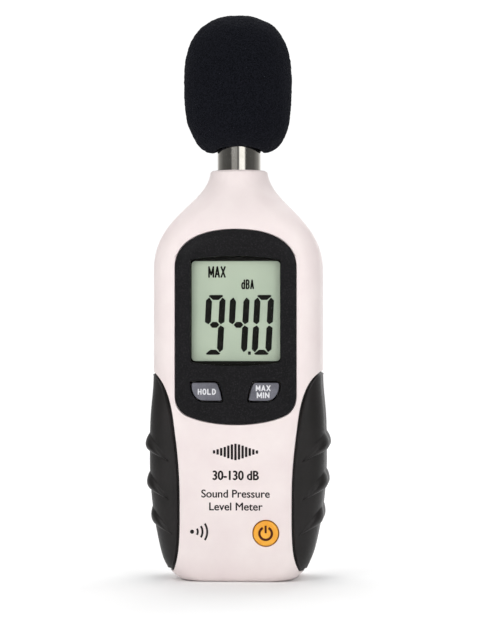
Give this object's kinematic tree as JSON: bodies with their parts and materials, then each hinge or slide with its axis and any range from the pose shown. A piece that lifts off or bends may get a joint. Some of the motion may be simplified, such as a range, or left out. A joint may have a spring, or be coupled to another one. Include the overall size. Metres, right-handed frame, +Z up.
{
  "type": "sound level meter",
  "caption": "Hand-held digital sound level meter with an ivory case, rubber side grips, LCD, push keys and a foam-covered half-inch microphone.",
  "frame": {"origin": "centre of the flat base, at the parting plane of the case halves", "axes": "+Z up the long axis to the microphone, the front face with the display looks to -Y, +X to the right of someone who reads the display"},
  "size_m": [0.055, 0.0322, 0.1695],
  "materials": {
    "case_ivory": "satin",
    "grip_rubber": "matte",
    "bezel_charcoal": "fine texture",
    "window_clear": "gloss",
    "lcd_glass": "satin",
    "holder_white": "satin",
    "contact_pink": "matte",
    "key_grey": "satin",
    "power_orange": "satin",
    "silicone": "matte",
    "board_green": "solder mask",
    "chip_black": "matte",
    "steel": "plated",
    "capacitor_blue": "sleeve",
    "trimmer_blue": "gloss",
    "nickel": "bright nickel plate",
    "wire_white": "satin",
    "wire_black": "satin",
    "wire_red": "satin",
    "foam_black": "open-cell foam",
    "battery_jacket": "satin",
    "label_silver": "satin",
    "brass": "machined"
  },
  "bodies": {
    "meter_body": {"front_case": "case_ivory", "rear_case": "case_ivory", "right_grip_front": "grip_rubber", "left_grip_front": "grip_rubber", "right_grip_rear": "grip_rubber", "left_grip_rear": "grip_rubber", "display_bezel": "bezel_charcoal", "display_window": "window_clear", "lcd_panel": "lcd_glass", "lcd_holder": "holder_white", "lower_contact_strip": "contact_pink", "upper_contact_strip": "contact_pink", "key_mat": "silicone", "power_key_mat": "silicone", "hold_dome": "silicone", "max_min_dome": "silicone", "power_dome": "silicone", "main_board": "board_green", "processor_chip": "chip_black", "amplifier_chip": "chip_black", "crystal": "steel", "filter_capacitor": "capacitor_blue", "output_capacitor": "capacitor_blue", "calibration_trimmer": "trimmer_blue", "microphone_barrel": "nickel", "capsule_sleeve": "chip_black", "microphone_capsule": "steel", "microphone_grid": "nickel", "signal_wire": "wire_white", "ground_wire": "wire_black", "battery": "battery_jacket", "positive_terminal": "steel", "negative_terminal": "steel", "snap_connector": "chip_black", "red_lead": "wire_red", "black_lead": "wire_black", "tripod_insert": "brass", "case_screw_1": "steel", "board_screw_1": "steel", "case_screw_2": "steel", "board_screw_2": "steel", "case_screw_3": "steel", "board_screw_3": "steel", "case_screw_4": "steel", "board_screw_4": "steel"},
    "windscreen_body": {"windscreen": "foam_black"},
    "hold_key_body": {"hold_button": "key_grey"},
    "max_min_key_body": {"max_min_button": "key_grey"},
    "power_key_body": {"power_button": "power_orange"},
    "battery_cover_body": {"battery_cover": "case_ivory", "battery_cover_screw": "steel", "rating_label": "label_silver", "battery_pad": "foam_black"}
  },
  "joints": [
    {"name": "windscreen_lift", "type": "slide", "parent": "meter_body", "child": "windscreen_body", "axis": [0, 0, 1], "range_m": [0, 0.04]},
    {"name": "hold_press", "type": "slide", "parent": "meter_body", "child": "hold_key_body", "axis": [0, 1, 0], "range_m": [0, 0.0008], "stiffness_N_per_m": 1500, "springref_m": -0.0004, "deforming": ["hold_dome"]},
    {"name": "max_min_press", "type": "slide", "parent": "meter_body", "child": "max_min_key_body", "axis": [0, 1, 0], "range_m": [0, 0.0008], "stiffness_N_per_m": 1500, "springref_m": -0.0004, "deforming": ["max_min_dome"]},
    {"name": "power_press", "type": "slide", "parent": "meter_body", "child": "power_key_body", "axis": [0, 1, 0], "range_m": [0, 0.0007], "stiffness_N_per_m": 1500, "springref_m": -0.0004, "deforming": ["power_dome"]},
    {"name": "battery_cover_lift", "type": "slide", "parent": "meter_body", "child": "battery_cover_body", "axis": [0, 1, 0], "range_m": [0, 0.025]}
  ]
}
